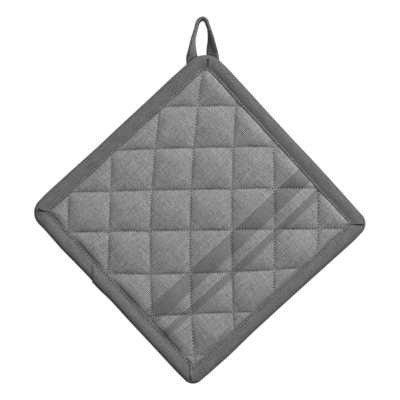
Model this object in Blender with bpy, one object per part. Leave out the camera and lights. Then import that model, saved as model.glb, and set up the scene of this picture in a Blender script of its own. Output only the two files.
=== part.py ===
"""A quilted pot holder with a bound edge and a hanging loop, lying face up on its back.

Metres, +Z up, +Y towards the hanging loop. The origin is under the middle of the pad, on the surface
that the pad lies on. Three pieces: the quilted pad, the tape bound round its edge, and the tape loop.
"""

import math
from collections import namedtuple

import bmesh
import bpy
import numpy as np
from mathutils import Vector

MM = 0.001
CLEARANCE = 0.3 * MM

# The four corners of the square before they are rounded, anticlockwise from the right, in millimetres.
# The square stands on one corner and is as crooked as sewn cloth is. fold_stop is how far from the
# outer edge the mitre fold of the binding ends.
Corner = namedtuple("Corner", "name x y radius fold_stop")
CORNERS = (
    Corner("right", 155.7, -6.1, 13.0, 1.0),
    Corner("top", 6.6, 155.3, 20.5, 7.0),
    Corner("left", -156.1, 5.5, 16.0, 4.0),
    Corner("bottom", -6.2, -154.7, 10.0, 2.0),
)
TOP_CORNER = 1
SIDE_BOW = 0.45 * MM

# The binding: a tape folded over the pad's edge with its raw edges turned under, sewn near its lip.
BINDING_WIDTH = 14.5 * MM
BINDING_WALL = 1.2 * MM
BINDING_HEIGHT = 6.5 * MM
LIP_HEIGHT = 5.9 * MM
SEAM_INSET = 12.2 * MM
INNER_CORNER_RADIUS = 1.0 * MM

# The mitre folds on the corners' diagonals: where they lie round the arc, and how wide they are there.
FOLD_TURN = 0.5
FOLD_TURN_WIDTH = 0.06
FOLD_DEPTH = 0.6 * MM
FOLD_RISE = 0.5 * MM
FOLD_FADE = 3.0 * MM

# Where the tape's two ends meet on the lower left side: how far along it from the left corner, how
# long the doubled tape is, how far it steps out, and how much it thickens the binding.
JOIN_SIDE = 2
JOIN_PLACE = 82.0 * MM
JOIN_START = 2.5 * MM
JOIN_FULL = 9.0 * MM
JOIN_END = 24.0 * MM
JOIN_STEP = 0.8 * MM
JOIN_THICKNESS = 0.5 * MM

# The pad: its edge between the binding's walls, and then its puffed cells. The insets are where it
# comes out of the binding and where its slope breaks.
EDGE_INSET = 2.7 * MM
EDGE_BOTTOM = BINDING_WALL + CLEARANCE
EDGE_TOP = 4.5 * MM
FREE_INSET = BINDING_WIDTH + 0.5 * MM
SHOULDER_INSET = BINDING_WIDTH + 4.0 * MM
PUFF_REACH = 10.0 * MM
VALLEY_TOP = 4.6 * MM
VALLEY_BOTTOM = 1.1 * MM
CROWN = 4.2 * MM
CROWN_UNEVEN = 0.07
CELL_FULLNESS = 2.4
CELL_SOFTNESS = 0.6
FLAT_FROM = 0.15
CELL_STEPS = (0.0, 0.05, FLAT_FROM, 0.37, 0.63, 1.0 - FLAT_FROM, 0.95)
WELD = 0.25 * MM

# The lines of quilting, in millimetres: x = place + lean*s + bow*s*s along an upright one and y
# likewise along a level one, with s in units of LINE_UNIT. The outermost lie past the cloth.
Line = namedtuple("Line", "place lean bow")
LINE_UNIT = 100.0 * MM
UPRIGHT_LINES = (
    Line(-194.0, 3.0, 0.0),
    Line(-156.2, 3.0, 0.0),
    Line(-118.7, 2.8, 0.0),
    Line(-81.3, 3.6, -0.4),
    Line(-44.4, 2.5, 5.0),
    Line(-8.2, 2.4, 4.2),
    Line(29.5, 0.7, 3.1),
    Line(67.6, -0.1, -1.6),
    Line(107.5, 0.2, 0.0),
    Line(145.5, 0.2, 0.0),
    Line(184.0, 0.2, 0.0),
)
LEVEL_LINES = (
    Line(-199.0, 4.5, 0.0),
    Line(-161.5, 4.5, 0.0),
    Line(-123.9, 4.5, 0.0),
    Line(-86.4, 4.5, -1.8),
    Line(-49.6, 2.9, 2.9),
    Line(-11.1, 1.1, 0.5),
    Line(26.4, 2.1, -0.4),
    Line(64.2, 2.3, -1.4),
    Line(101.7, 1.2, 0.0),
    Line(139.3, 1.0, 0.0),
    Line(177.0, 1.0, 0.0),
)

# The loop: a folded tape that stands on its edge at the top and leans over towards its ends, which
# lie flat under the top corner. lean is 0 on edge and 90 flat, with the inner face turned up.
LOOP_WIDTH = 11.0 * MM
LOOP_THICKNESS = 2.0 * MM
LOOP_STEPS = 4
Place = namedtuple("Place", "x y lean")
LOOP_PATH = (
    Place(-5.0, 133.0, 90.0),
    Place(-6.2, 139.5, 90.0),
    Place(-6.6, 144.8, 86.0),
    Place(-6.6, 149.0, 58.0),
    Place(-6.3, 154.5, 32.0),
    Place(-5.4, 162.0, 14.0),
    Place(-2.9, 171.5, 8.0),
    Place(-0.9, 177.3, 9.0),
    Place(2.9, 180.4, 10.0),
    Place(6.5, 177.5, 9.0),
    Place(9.1, 170.8, 10.0),
    Place(10.8, 161.5, 24.0),
    Place(11.6, 154.5, 50.0),
    Place(12.1, 149.5, 80.0),
    Place(12.2, 145.5, 90.0),
    Place(11.8, 140.0, 90.0),
    Place(10.6, 133.5, 90.0),
)

# The top corner rides over the loop's ends: where the rise starts and is full, and how it fades
# to both sides of the corner.
LIFT = LOOP_THICKNESS + CLEARANCE + 0.2 * MM
LIFT_FROM_Y = 102.0 * MM
LIFT_FULL_Y = 131.0 * MM
LIFT_HALF_WIDTH = 14.0 * MM
LIFT_FADE = 36.0 * MM

GROUND_GREY = 0.24
TAPE_GREY = 0.14


def smooth(value):
    """0 up to value 0, 1 from value 1, and a soft S between them."""
    value = min(1.0, max(0.0, value))
    return value * value * (3.0 - 2.0 * value)


def corner_point(index):
    corner = CORNERS[index % 4]
    return Vector((corner.x, corner.y)) * MM


def outward(side):
    """The unit vector out of a side, in the plane of the pad."""
    along = corner_point(side + 1) - corner_point(side)
    return Vector((along.y, -along.x)).normalized()


def corner_arc(index, inset, turn):
    """A point of a rounded corner that lies inset inside the outline; turn goes from 0 to 1 round it."""
    before = outward(index - 1)
    after = outward(index)
    radius = max(CORNERS[index % 4].radius * MM - inset, INNER_CORNER_RADIUS)
    centre = corner_point(index) - (before + after) * (inset + radius) / (1.0 + before.dot(after))
    angle = before.angle_signed(after) * -turn
    spoke = Vector((
        before.x * math.cos(angle) - before.y * math.sin(angle),
        before.x * math.sin(angle) + before.y * math.cos(angle),
    ))
    return centre + spoke * radius


def side_point(side, inset, share):
    """A point of a side, inset inside the outline; share goes from 0 to 1 between its corners' arcs."""
    start = corner_arc(side, inset, 1.0)
    end = corner_arc(side + 1, inset, 0.0)
    bow = SIDE_BOW * math.sin(math.pi * share) * max(0.0, 1.0 - inset / BINDING_WIDTH)
    return start.lerp(end, share) + outward(side) * bow


def lift_at(x, y):
    """How far the cloth is raised where it lies over the ends of the loop."""
    along = smooth((y - LIFT_FROM_Y) / (LIFT_FULL_Y - LIFT_FROM_Y))
    across = 1.0 - smooth((abs(x - corner_point(TOP_CORNER).x) - LIFT_HALF_WIDTH) / LIFT_FADE)
    return LIFT * along * across


def line_place(lines, number, along):
    """Where a line of quilting runs at a distance along it; a number between two lines blends them."""
    whole = min(int(math.floor(number)), len(lines) - 2)
    s = along / LINE_UNIT
    first, second = ((line.place + line.lean * s + line.bow * s * s) * MM for line in lines[whole:whole + 2])
    return first + (second - first) * (number - whole)


def quilt_point(across, up):
    """Where upright line number across meets level line number up."""
    x = 0.0
    y = 0.0
    for _ in range(8):
        x = line_place(UPRIGHT_LINES, across, y)
        y = line_place(LEVEL_LINES, up, x)
    return x, y


def edge_inset(x, y):
    """How far a point lies inside the straight sides of the outline."""
    return min(outward(side).dot(corner_point(side) - Vector((x, y))) for side in range(4))


def puff(share):
    """The rise of a cell from one line of quilting to the next."""
    return 1.0 - abs(2.0 * share - 1.0) ** CELL_FULLNESS


def flat_share(share):
    """0 on a line of quilting and 1 where the back of the cell lies flat."""
    return min(1.0, share / FLAT_FROM, (1.0 - share) / FLAT_FROM)


def pad_heights(across, up, x, y):
    """The pad's (lower, upper) surface at a point, whose place in the quilting is across and up."""
    column, share_x = divmod(across, 1.0)
    row, share_y = divmod(up, 1.0)
    free = smooth((edge_inset(x, y) - FREE_INSET) / PUFF_REACH) ** 0.7
    uneven = 1.0 + CROWN_UNEVEN * math.sin(2.1 * column + 1.3) * math.cos(1.7 * row)
    crown = CROWN * uneven * (puff(share_x) * puff(share_y)) ** CELL_SOFTNESS
    upper = EDGE_TOP + free * (VALLEY_TOP - EDGE_TOP + crown)
    cell_bottom = VALLEY_BOTTOM * (1.0 - flat_share(share_x) * flat_share(share_y))
    lower = EDGE_BOTTOM + (cell_bottom - EDGE_BOTTOM) * min(1.0, 1.6 * free)
    lift = lift_at(x, y)
    return lower + lift, upper + lift


def cloth(name, grey, roughness):
    """A plain grey cloth material."""
    made = bpy.data.materials.new(name)
    made.use_nodes = True
    shader = made.node_tree.nodes["Principled BSDF"]
    shader.inputs["Base Color"].default_value = (grey, grey, grey, 1.0)
    shader.inputs["Roughness"].default_value = roughness
    shader.inputs["Metallic"].default_value = 0.0
    return made


def add_object(name, shape, material):
    """An object from a bmesh, smooth but for its sharp edges."""
    mesh = bpy.data.meshes.new(name)
    bmesh.ops.recalc_face_normals(shape, faces=shape.faces)
    shape.to_mesh(mesh)
    shape.free()
    mesh.shade_smooth()
    mesh.set_sharp_from_angle(angle=math.radians(50.0))
    mesh.materials.append(material)
    obj = bpy.data.objects.new(name, mesh)
    bpy.context.collection.objects.link(obj)
    return obj


def join_rings(shape, rings, closed):
    """Skins a list of equal rings of points; the ends of an open run are capped."""
    made = [[shape.verts.new(point) for point in ring] for ring in rings]
    count = len(made[0])
    pairs = list(zip(made, made[1:]))
    if closed:
        pairs.append((made[-1], made[0]))
    else:
        shape.faces.new(made[0])
        shape.faces.new(list(reversed(made[-1])))
    for before, after in pairs:
        for i in range(count):
            j = (i + 1) % count
            shape.faces.new((before[i], before[j], after[j], after[i]))


def quilted_grid():
    """A flat grid on the quilting lines, and the layers that hold its points' places in the quilting."""
    numbers = [line + step for line in range(len(UPRIGHT_LINES) - 1) for step in CELL_STEPS]
    grid = bmesh.new()
    across_layer = grid.verts.layers.float.new("across")
    up_layer = grid.verts.layers.float.new("up")
    rows = []
    for up in numbers:
        row = []
        for across in numbers:
            point = grid.verts.new((*quilt_point(across, up), 0.0))
            point[across_layer] = across
            point[up_layer] = up
            row.append(point)
        rows.append(row)
    for below, above in zip(rows, rows[1:]):
        for i in range(len(numbers) - 1):
            grid.faces.new((below[i], below[i + 1], above[i + 1], above[i]))
    return grid, across_layer, up_layer


def cut(grid, start, end, outer_goes):
    """Cuts the flat grid along the line from start to end, which runs anticlockwise round the pad."""
    along = end - start
    bmesh.ops.bisect_plane(
        grid,
        geom=grid.verts[:] + grid.edges[:] + grid.faces[:],
        dist=1e-6,
        plane_co=(start.x, start.y, 0.0),
        plane_no=(along.y, -along.x, 0.0),
        clear_outer=outer_goes,
    )


def make_pad():
    """The pad: face cloth, wadding and backing as one solid, drawn in along every line of quilting."""
    grid, across_layer, up_layer = quilted_grid()
    outline = [corner_arc(corner, EDGE_INSET, turn / 6) for corner in range(4) for turn in range(7)]
    for start, end in zip(outline, outline[1:] + outline[:1]):
        cut(grid, start, end, True)
    for inset in (FREE_INSET, SHOULDER_INSET):
        for side in range(4):
            cut(grid, side_point(side, inset, 0.0), side_point(side, inset, 1.0), False)
    bmesh.ops.remove_doubles(grid, verts=grid.verts, dist=WELD)
    upper_faces = grid.faces[:]
    rim = [edge for edge in grid.edges if edge.is_boundary]
    under = {}
    for point in grid.verts[:]:
        lower, upper = pad_heights(point[across_layer], point[up_layer], point.co.x, point.co.y)
        under[point] = grid.verts.new((point.co.x, point.co.y, lower))
        point.co.z = upper
    for face in upper_faces:
        grid.faces.new([under[point] for point in reversed(face.verts)])
    for edge in rim:
        first, second = edge.verts
        grid.faces.new((first, second, under[second], under[first]))
    add_object("quilted_pad", grid, cloth("ground cloth", GROUND_GREY, 0.9))


# The binding's cross-section, from its lip over the face, round the outer edge, along the back and
# then inside the fold: how far in from the outer edge, how high, and how much of a fold or of the
# doubled tape shows there.
SectionPoint = namedtuple("SectionPoint", "inset height raised")
INSIDE_TOP = EDGE_TOP + CLEARANCE
INSIDE_INSET = EDGE_INSET - 0.1 * MM
MIDDLE_INSET = 8.0 * MM
BINDING_SECTION = (
    SectionPoint(BINDING_WIDTH, LIP_HEIGHT - 0.5 * MM, 0.6),
    SectionPoint(BINDING_WIDTH - 0.8 * MM, LIP_HEIGHT, 1.0),
    SectionPoint(SEAM_INSET, LIP_HEIGHT - 0.4 * MM, 0.6),
    SectionPoint(9.6 * MM, BINDING_HEIGHT - 0.2 * MM, 1.0),
    SectionPoint(5.6 * MM, BINDING_HEIGHT, 1.0),
    SectionPoint(2.2 * MM, 5.8 * MM, 0.8),
    SectionPoint(0.5 * MM, 4.4 * MM, 0.4),
    SectionPoint(0.0, 2.9 * MM, 0.0),
    SectionPoint(0.5 * MM, 1.1 * MM, 0.0),
    SectionPoint(2.2 * MM, 0.0, 0.0),
    SectionPoint(MIDDLE_INSET, 0.0, 0.0),
    SectionPoint(BINDING_WIDTH, 0.0, 0.0),
    SectionPoint(BINDING_WIDTH, BINDING_WALL, 0.0),
    SectionPoint(MIDDLE_INSET, BINDING_WALL, 0.0),
    SectionPoint(INSIDE_INSET, BINDING_WALL, 0.0),
    SectionPoint(BINDING_WALL + 0.1 * MM, 2.3 * MM, 0.0),
    SectionPoint(BINDING_WALL + 0.1 * MM, 3.7 * MM, 0.0),
    SectionPoint(INSIDE_INSET, INSIDE_TOP, 0.0),
    SectionPoint(MIDDLE_INSET, INSIDE_TOP, 0.0),
    SectionPoint(BINDING_WIDTH, INSIDE_TOP, 0.0),
)
CORNER_TURNS = (0.0, 0.12, 0.25, 0.36, 0.44, FOLD_TURN, 0.56, 0.64, 0.75, 0.88)
SIDE_SECTIONS = 12
CROWDED_SECTIONS = 20
CROWDING = 1.3


def side_length(side):
    """The length of a side between its corners' arcs, on the outer edge."""
    return (corner_arc(side + 1, 0.0, 0.0) - corner_arc(side, 0.0, 1.0)).length


def join_share(past):
    """The share of the side at which the tape's join lies, or a distance past it."""
    return (JOIN_PLACE - CORNERS[JOIN_SIDE].radius * MM + past) / side_length(JOIN_SIDE)


def side_shares(side):
    """Where a side's cross-sections stand: closer together by the top corner and at the tape's join."""
    if side == TOP_CORNER - 1:
        return [1.0 - (1.0 - i / CROWDED_SECTIONS) ** CROWDING for i in range(CROWDED_SECTIONS)]
    if side == TOP_CORNER:
        return [(i / CROWDED_SECTIONS) ** CROWDING for i in range(CROWDED_SECTIONS)]
    shares = [i / SIDE_SECTIONS for i in range(SIDE_SECTIONS)]
    if side == JOIN_SIDE:
        shares += [join_share(past) for past in (0.0, JOIN_START, JOIN_FULL, JOIN_END)]
    return sorted(shares)


def join_amount(side, share):
    """1 where the tape's end is doubled, and 0 elsewhere."""
    if side != JOIN_SIDE:
        return 0.0
    past = (share - join_share(0.0)) * side_length(side)
    return smooth(past / JOIN_START) * (1.0 - smooth((past - JOIN_FULL) / (JOIN_END - JOIN_FULL)))


def fold_offset(corner, turn, inset):
    """How far the face of the binding dips into the mitre fold, or rises beside it."""
    reach = smooth((inset - CORNERS[corner].fold_stop * MM) / FOLD_FADE)
    away = (turn - FOLD_TURN) / FOLD_TURN_WIDTH
    dip = FOLD_DEPTH * max(0.0, 1.0 - abs(away))
    rise = FOLD_RISE * max(0.0, 1.0 - abs(away - 1.0) / 3.0) if away > 0.0 else 0.0
    return reach * (rise - dip)


def corner_ring(corner, turn):
    """The points of a cross-section on a corner."""
    ring = []
    for point in BINDING_SECTION:
        spot = corner_arc(corner, point.inset, turn)
        height = point.height + point.raised * fold_offset(corner, turn, point.inset)
        ring.append(Vector((spot.x, spot.y, height + lift_at(spot.x, spot.y))))
    return ring


def side_ring(side, share):
    """The points of a cross-section on a side."""
    doubled = join_amount(side, share)
    ring = []
    for point in BINDING_SECTION:
        step = JOIN_STEP * doubled * max(0.0, 1.0 - point.inset / (4.0 * MM))
        spot = side_point(side, point.inset, share) + outward(side) * step
        height = point.height + point.raised * JOIN_THICKNESS * doubled
        ring.append(Vector((spot.x, spot.y, height + lift_at(spot.x, spot.y))))
    return ring


def make_binding():
    """The binding: one tape folded over the edge all the way round, with mitred corners."""
    rings = []
    for index in range(4):
        rings += [corner_ring(index, turn) for turn in CORNER_TURNS]
        rings += [side_ring(index, share) for share in side_shares(index)]
    shape = bmesh.new()
    join_rings(shape, rings, True)
    add_object("edge_binding", shape, cloth("binding tape", TAPE_GREY, 0.85))


def smooth_rows(rows, steps):
    """A smooth curve through rows of numbers, as an array with steps rows from each row to the next."""
    values = np.array(rows, dtype=float)
    padded = np.vstack([2 * values[0] - values[1], values, 2 * values[-1] - values[-2]])
    found = []
    for i in range(1, len(padded) - 2):
        before, start, end, after = padded[i - 1:i + 3]
        for step in range(steps):
            t = step / steps
            square = (2 * before - 5 * start + 4 * end - after) * t ** 2
            cube = (3 * start - before - 3 * end + after) * t ** 3
            found.append(start + 0.5 * ((end - before) * t + square + cube))
    found.append(values[-1])
    return np.array(found)


def loop_section():
    """The loop's cross-section with soft edges: (across its width, through its thickness)."""
    half_width = LOOP_WIDTH / 2
    half_thickness = LOOP_THICKNESS / 2
    bevel = 0.6 * half_thickness
    half = (
        (half_width, half_thickness - bevel),
        (half_width - bevel, half_thickness),
        (0.0, half_thickness),
        (-half_width + bevel, half_thickness),
        (-half_width, half_thickness - bevel),
    )
    return half + tuple((-across, -through) for across, through in half)


def make_loop():
    """The hanging loop: one folded tape, its lower edge on the surface all the way."""
    path = smooth_rows(LOOP_PATH, LOOP_STEPS)
    section = loop_section()
    rings = []
    for i, (x, y, lean) in enumerate(path):
        before = path[max(0, i - 1)]
        after = path[min(len(path) - 1, i + 1)]
        along = Vector((after[0] - before[0], after[1] - before[1], 0.0)).normalized()
        out = Vector((-along.y, along.x, 0.0))
        angle = math.radians(min(90.0, lean))
        width_way = out * math.sin(angle) + Vector((0.0, 0.0, math.cos(angle)))
        face_way = Vector((0.0, 0.0, math.sin(angle))) - out * math.cos(angle)
        offsets = [width_way * across + face_way * through for across, through in section]
        foot = Vector((x * MM, y * MM, -min(offset.z for offset in offsets)))
        rings.append([foot + offset for offset in offsets])
    shape = bmesh.new()
    join_rings(shape, rings, False)
    add_object("hanging_loop", shape, cloth("loop tape", TAPE_GREY, 0.85))


def main():
    for obj in list(bpy.data.objects):
        bpy.data.objects.remove(obj, do_unlink=True)
    make_pad()
    make_binding()
    make_loop()


main()
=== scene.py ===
"""The looks of a quilted cloth pot holder with a bound edge and a hanging loop, lying face up."""

import math

import bpy
import numpy as np
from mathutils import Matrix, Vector


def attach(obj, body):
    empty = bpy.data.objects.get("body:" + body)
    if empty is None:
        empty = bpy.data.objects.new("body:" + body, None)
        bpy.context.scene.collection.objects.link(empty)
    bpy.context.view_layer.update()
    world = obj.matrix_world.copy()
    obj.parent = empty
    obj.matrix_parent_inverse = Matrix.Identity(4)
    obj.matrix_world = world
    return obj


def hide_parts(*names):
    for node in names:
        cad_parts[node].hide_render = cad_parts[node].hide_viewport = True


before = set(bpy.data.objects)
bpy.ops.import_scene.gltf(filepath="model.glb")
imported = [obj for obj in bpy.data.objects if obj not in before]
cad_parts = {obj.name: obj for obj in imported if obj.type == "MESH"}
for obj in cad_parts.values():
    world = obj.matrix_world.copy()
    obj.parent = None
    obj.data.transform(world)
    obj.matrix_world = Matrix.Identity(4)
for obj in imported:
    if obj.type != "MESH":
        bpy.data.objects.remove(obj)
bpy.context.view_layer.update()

MM = 0.001

# The camera looks straight down through a long lens, with the loop's corner at the top of the picture.
LENS = 200.0
SENSOR = 36.0
VIEW_WIDTH = 362.3 * MM
VIEW_MIDDLE = (0.65 * MM, 15.98 * MM)
VIEW_PLANE = 4.0 * MM

camera_data = bpy.data.cameras.new("camera")
camera_data.lens = LENS
camera_data.sensor_width = SENSOR
camera = bpy.data.objects.new("camera", camera_data)
camera.location = (*VIEW_MIDDLE, VIEW_PLANE + VIEW_WIDTH * LENS / SENSOR)
bpy.context.scene.collection.objects.link(camera)
bpy.context.scene.camera = camera

# The studio: a pale plain table lit from below, as for a catalogue picture, one large soft light from
# the upper right of the picture, and pale walls all round that fill the shadows.
KEY_STRENGTH = 4.5
KEY_DISTANCE = 1.9
KEY_SOFTNESS = math.radians(44.0)
KEY_ELEVATION = math.radians(42.5)
KEY_BEARING = math.radians(54.0)
FILL_STRENGTH = 0.24
FLOOR_HALF = 3.0
FLOOR_LEVEL = -0.05 * MM
FLOOR_GREY = 0.05
FLOOR_GLOW = 1.0
CLOUD_SCALE = 2.0
CLOUD_TONE = 0.004
GRAIN_SCALE = 400.0
GRAIN_DEPTH = 0.02 * MM
SHEET_LEVEL = -0.1 * MM
SHEET_GREY = 0.02
WHITE = (1.0, 1.0, 1.0, 1.0)
SPECULAR = 0.25
SHEEN_ROUGHNESS = 0.5


def add_mesh(name, points, faces, material, second=None, second_from=None):
    """A smooth-shaded mesh object; the faces from number second_from on get the second material."""
    mesh = bpy.data.meshes.new(name)
    mesh.from_pydata([tuple(point) for point in points], [], faces)
    mesh.materials.append(material)
    if second:
        mesh.materials.append(second)
        indices = np.zeros(len(faces), dtype=np.int32)
        indices[second_from:] = 1
        mesh.polygons.foreach_set("material_index", indices)
    mesh.shade_smooth()
    mesh.update()
    made = bpy.data.objects.new(name, mesh)
    bpy.context.scene.collection.objects.link(made)
    return made


def new_material(name, roughness, sheen=0.0):
    """A material's tree and its shader, with the values that are the same all over it."""
    material = bpy.data.materials.new(name)
    material.use_nodes = True
    tree = material.node_tree
    shader = tree.nodes["Principled BSDF"]
    shader.inputs["Roughness"].default_value = roughness
    shader.inputs["Specular IOR Level"].default_value = SPECULAR
    shader.inputs["Sheen Weight"].default_value = sheen
    shader.inputs["Sheen Roughness"].default_value = SHEEN_ROUGHNESS
    return material, tree, shader


def node(tree, kind, values=(), **settings):
    """A node with its inputs linked or set in order, and its first output."""
    made = tree.nodes.new(kind)
    for name, value in settings.items():
        setattr(made, name, value)
    for socket, value in zip(made.inputs, values):
        if isinstance(value, bpy.types.NodeSocket):
            tree.links.new(value, socket)
        elif value is not None:
            socket.default_value = value
    return made.outputs[0]


def calc(tree, operation, *values):
    return node(tree, "ShaderNodeMath", values, operation=operation)


def noise(tree, place, scale, detail=2.0, roughness=0.55):
    """Soft noise around 0: the texture's usual values, 0.25 to 0.75, become -1 to 1."""
    made = node(tree, "ShaderNodeTexNoise", (place, None, scale, detail, roughness))
    return calc(tree, "MULTIPLY_ADD", made, 4.0, -2.0)


def paint(tree, shader, grey, height, depth):
    """Puts a grey value and a height, in depth's metres, on the shader."""
    colour = node(tree, "ShaderNodeCombineColor", (grey, grey, grey))
    tree.links.new(colour, shader.inputs["Base Color"])
    bump = tree.nodes.new("ShaderNodeBump")
    bump.inputs["Strength"].default_value = 1.0
    bump.inputs["Distance"].default_value = depth
    tree.links.new(height, bump.inputs["Height"])
    tree.links.new(bump.outputs["Normal"], shader.inputs["Normal"])


def table_material():
    """A matt white glowing table top with the faintest unevenness."""
    material, tree, shader = new_material("table_top", roughness=0.9)
    shader.inputs["Emission Color"].default_value = WHITE
    shader.inputs["Emission Strength"].default_value = FLOOR_GLOW
    place = tree.nodes.new("ShaderNodeTexCoord").outputs["Object"]
    cloud = noise(tree, place, CLOUD_SCALE)
    grey = calc(tree, "MULTIPLY_ADD", cloud, CLOUD_TONE, FLOOR_GREY)
    paint(tree, shader, grey, noise(tree, place, GRAIN_SCALE), GRAIN_DEPTH)
    return material


FLOOR_CORNERS = [(FLOOR_HALF * x, FLOOR_HALF * y, 0.0) for x, y in ((-1, -1), (1, -1), (1, 1), (-1, 1))]
floor = add_mesh("table_top", FLOOR_CORNERS, [(0, 1, 2, 3)], table_material())
floor.location.z = FLOOR_LEVEL
floor.visible_diffuse = False

# A dark sheet just under the table top, so that no light comes up from below.
sheet_material, _, sheet_shader = new_material("dark_sheet", roughness=1.0)
sheet_shader.inputs["Base Color"].default_value = (SHEET_GREY, SHEET_GREY, SHEET_GREY, 1.0)
sheet = add_mesh("dark_sheet", FLOOR_CORNERS, [(0, 1, 2, 3)], sheet_material)
sheet.location.z = SHEET_LEVEL
sheet.visible_camera = False

key_data = bpy.data.lights.new("soft_key", "AREA")
key_data.shape = "DISK"
key_data.size = 2.0 * KEY_DISTANCE * math.tan(KEY_SOFTNESS / 2)
key_data.energy = KEY_STRENGTH * math.pi * (KEY_DISTANCE / math.cos(KEY_SOFTNESS / 2)) ** 2
key = bpy.data.objects.new("soft_key", key_data)
to_key = Vector((
    math.cos(KEY_BEARING) * math.cos(KEY_ELEVATION),
    math.sin(KEY_BEARING) * math.cos(KEY_ELEVATION),
    math.sin(KEY_ELEVATION),
))
key.location = to_key * KEY_DISTANCE
key.rotation_euler = to_key.to_track_quat("Z", "Y").to_euler()
key.visible_camera = False
bpy.context.scene.collection.objects.link(key)

world = bpy.data.worlds.new("studio")
bpy.context.scene.world = world
world.use_nodes = True
background = world.node_tree.nodes["Background"]
background.inputs["Color"].default_value = WHITE
background.inputs["Strength"].default_value = FILL_STRENGTH
bpy.context.scene.view_settings.view_transform = "Standard"

# The quilted pad: face cloth, wadding and backing stitched together along two sets of straight lines.
# The face is a plain-woven melange cotton with two darker twill stripes, cut with its threads along
# the sides of the square. Its edge lies inside the binding.
CORNERS = np.array(((155.7, -6.1), (6.6, 155.3), (-156.1, 5.5), (-6.2, -154.7))) * MM
RADII = np.array((12.0, 19.5, 15.2, 10.3)) * MM
ALONG = np.roll(CORNERS, -1, axis=0) - CORNERS
ALONG /= np.linalg.norm(ALONG, axis=1)[:, None]
OUTWARD = np.stack([ALONG[:, 1], -ALONG[:, 0]], axis=1)
TOP_CORNER = 1

LINE_UNIT = 100.0 * MM
UPRIGHT_LINES = np.array((
    (-194.2, 3.0, 0.0), (-156.4, 3.0, 0.0), (-118.8, 2.8, 0.0), (-81.2, 3.6, -0.4), (-44.1, 3.2, 5.5),
    (-8.3, 2.5, 4.4), (29.2, 0.7, 3.1), (68.0, -0.4, -1.6), (107.3, 0.2, 0.0), (145.3, 0.2, 0.0),
    (183.8, 0.2, 0.0),
)) * MM
LEVEL_LINES = np.array((
    (-199.7, 4.5, 0.0), (-139.5, 4.5, 0.0), (-124.6, 4.5, 0.0), (-87.1, 4.5, -1.8), (-50.5, 2.8, 2.9),
    (-11.6, 1.3, -0.1), (25.4, 1.8, -0.4), (63.3, 2.3, -1.4), (100.9, 1.2, 0.0), (138.5, 1.0, 0.0),
    (176.2, 1.0, 0.0),
)) * MM
CELL = 37.6 * MM

# The pad's edge inside the binding, and how the cloth swells from the binding's lip on each side.
EDGE_INSET = 2.7 * MM
EDGE_BOTTOM = 1.5 * MM
EDGE_TOP = 4.5 * MM
LIP_SHIFTS = np.array((-0.7, -0.1, 0.1, -0.3)) * MM
FREE_INSET = 14.7 * MM
FREE_STARTS = (0.3, 0.2, 0.34, 0.36)
FREE_BLEND = 2.0 * MM
FREE_START_REACH = 1.0 * MM
PUFF_REACH = 10.0 * MM
PUFF_FULLNESS = (2.3, 2.7, 2.2, 1.8)
VALLEY_TOP = 4.6 * MM
VALLEY_BOTTOM = 1.1 * MM
CROWN = 4.2 * MM
CROWN_UNEVEN = 0.07
UNEVEN_ACROSS = 2.1
UNEVEN_UP = 1.7
UNEVEN_START = 1.3
CELL_FULLNESS = 2.05
CELL_SOFTNESS = 0.7
VALLEY_SHARE = 0.04
FLAT_FROM = 0.15
DENT = 0.16 * MM
DENT_SIZE = 11.0 * MM
PUCKER = 0.11 * MM
PUCKER_SIZE = 10.2 * MM
PUCKER_SKEW = 9.0
PUCKER_START = 0.02
PUCKER_REACH = 0.14
BACK_FULLNESS = 1.6
RIPPLE_WAVES = 7

# How the cloth rises over the ends of the loop.
LIFT = 2.5 * MM
LIFT_FROM_Y = 102.0 * MM
LIFT_RISE = 29.0 * MM
LIFT_HALF_WIDTH = 14.0 * MM
LIFT_FADE = 36.0 * MM

# The mesh's steps in each cell, crowded towards the lines, and the length of the stitches of each line.
BACK_STEPS = 22
CROWDING = 0.3
CROSSING_ROUNDS = 8
RIM_ROUNDS = 3
RIM_NUDGE = 0.01 * MM
UPRIGHT_PITCHES = np.array((2.5, 2.6, 2.5, 2.34, 2.43, 2.81, 2.3, 2.59, 2.87, 2.5, 2.5)) * MM
LEVEL_PITCHES = np.array((2.4, 2.5, 2.6, 2.31, 2.27, 2.7, 2.59, 2.2, 2.26, 2.4, 2.5)) * MM
LINE_SHIFT = 0.37
PITCH_DRIFT = 0.3
PITCH_DRIFT_LENGTH = 19.0 * MM
PITCH_DRIFT_SHIFT = 1.9

# The weave, in millimetres along the warp and the weft, and the two stripes' edges along the weft.
WARP_ANGLE = math.radians(42.6)
WARP = np.array((math.cos(WARP_ANGLE), math.sin(WARP_ANGLE)))
WEFT = np.array((-WARP[1], WARP[0]))
THREAD_PITCH = 1.38
THREAD_BOW = 1.0e-4
THREAD_WANDER = 0.3
THREAD_WANDER_SIZE = 42.0
THREAD_DRIFT = 0.25
THREAD_DRIFT_SCALE = 0.11
WEFT_SHARE = 0.68
GROUND_GREY = 0.194
DARKEST = 0.12
RIB_TONE = 0.38
RIB_HEIGHT = 0.25
PATCH_SCALE = 0.12
PATCH_CHANGE = 0.6
PATCH_MEAN = 0.9
GROUND_RELIEF = 0.06 * MM
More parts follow.
